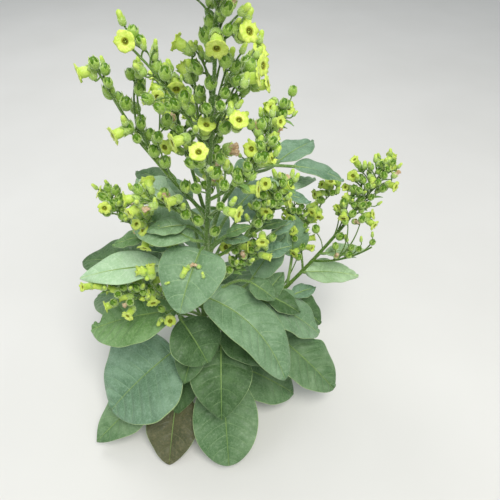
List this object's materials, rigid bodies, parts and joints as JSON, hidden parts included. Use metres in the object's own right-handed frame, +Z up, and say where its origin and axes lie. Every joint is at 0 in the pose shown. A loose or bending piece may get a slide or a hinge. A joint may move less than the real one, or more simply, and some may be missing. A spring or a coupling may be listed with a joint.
{
  "type": "tobacco plant",
  "caption": "Leafy flowering tobacco plant: one leaning main stem with side stems, broad stalked leaf blades and loose clusters of small trumpet flowers and round seed capsules.",
  "frame": {"origin": "middle of the flat cut under the main stem, at ground level", "axes": "+Z up, +X to the picture's right, -Y towards the picture's viewer"},
  "size_m": [0.5555, 0.445, 0.7671],
  "materials": {
    "stem": "green, matt and softly hairy",
    "leaf": "blue-green, matt, pale veins",
    "pale_leaf": "pale green, matt",
    "deep_leaf": "deep green, matt",
    "brown_leaf": "brownish, withering",
    "flowers": "yellow-green, soft",
    "fruit": "green, slightly glossy"
  },
  "bodies": {
    "root": {"main_stem": "stem", "side_stem_right_basal": "stem", "side_stem_right_basal_left": "stem", "side_stem_right_basal_front": "stem", "side_stem_left_basal": "stem", "side_stem_low_right": "stem", "side_stem_far_left": "stem", "side_stem_low_left": "stem", "side_stem_mid_right": "stem", "side_stem_back": "stem", "side_stem_mid_left": "stem", "side_stem_back_left": "stem", "side_stem_far_right": "stem", "side_stem_high_left": "stem", "side_stem_right": "stem", "side_stem_upper_left": "stem", "leaf_front_lowest": "leaf", "leaf_front_brown": "brown_leaf", "leaf_front_low": "leaf", "leaf_front_middle": "deep_leaf", "leaf_front_high": "leaf", "leaf_left_large": "leaf", "leaf_left_lowest": "leaf", "leaf_left_notched": "leaf", "leaf_left_pale": "pale_leaf", "leaf_right_long": "leaf", "leaf_right_low": "leaf", "leaf_right_broad": "leaf", "leaf_right_inner": "leaf", "leaf_right_upright": "leaf", "leaf_side_front": "leaf", "leaf_side_right": "leaf", "leaf_side_tip": "leaf", "leaf_side_inner": "leaf", "leaf_left_high": "leaf", "leaf_left_upper": "leaf", "leaf_left_middle": "leaf", "leaf_left_back": "leaf", "leaf_back_high": "pale_leaf", "leaf_back_right": "leaf", "leaf_back_middle": "leaf", "leaf_back_left": "leaf", "leaf_back_low": "leaf", "flower_mass_upper": "flowers", "flower_mass_top": "flowers", "flower_mass_right_tip": "flowers", "flower_mass_right_left": "flowers", "flower_mass_right_front": "flowers", "flower_mass_left_basal": "flowers", "flower_mass_low_right": "flowers", "flower_mass_far_left": "flowers", "flower_mass_low_left": "flowers", "flower_mass_mid_right": "flowers", "flower_mass_back": "flowers", "flower_mass_mid_left": "flowers", "flower_mass_back_left": "flowers", "flower_mass_far_right": "flowers", "flower_mass_high_left": "flowers", "flower_mass_right": "flowers", "flower_mass_upper_left": "flowers"}
  },
  "joints": []
}
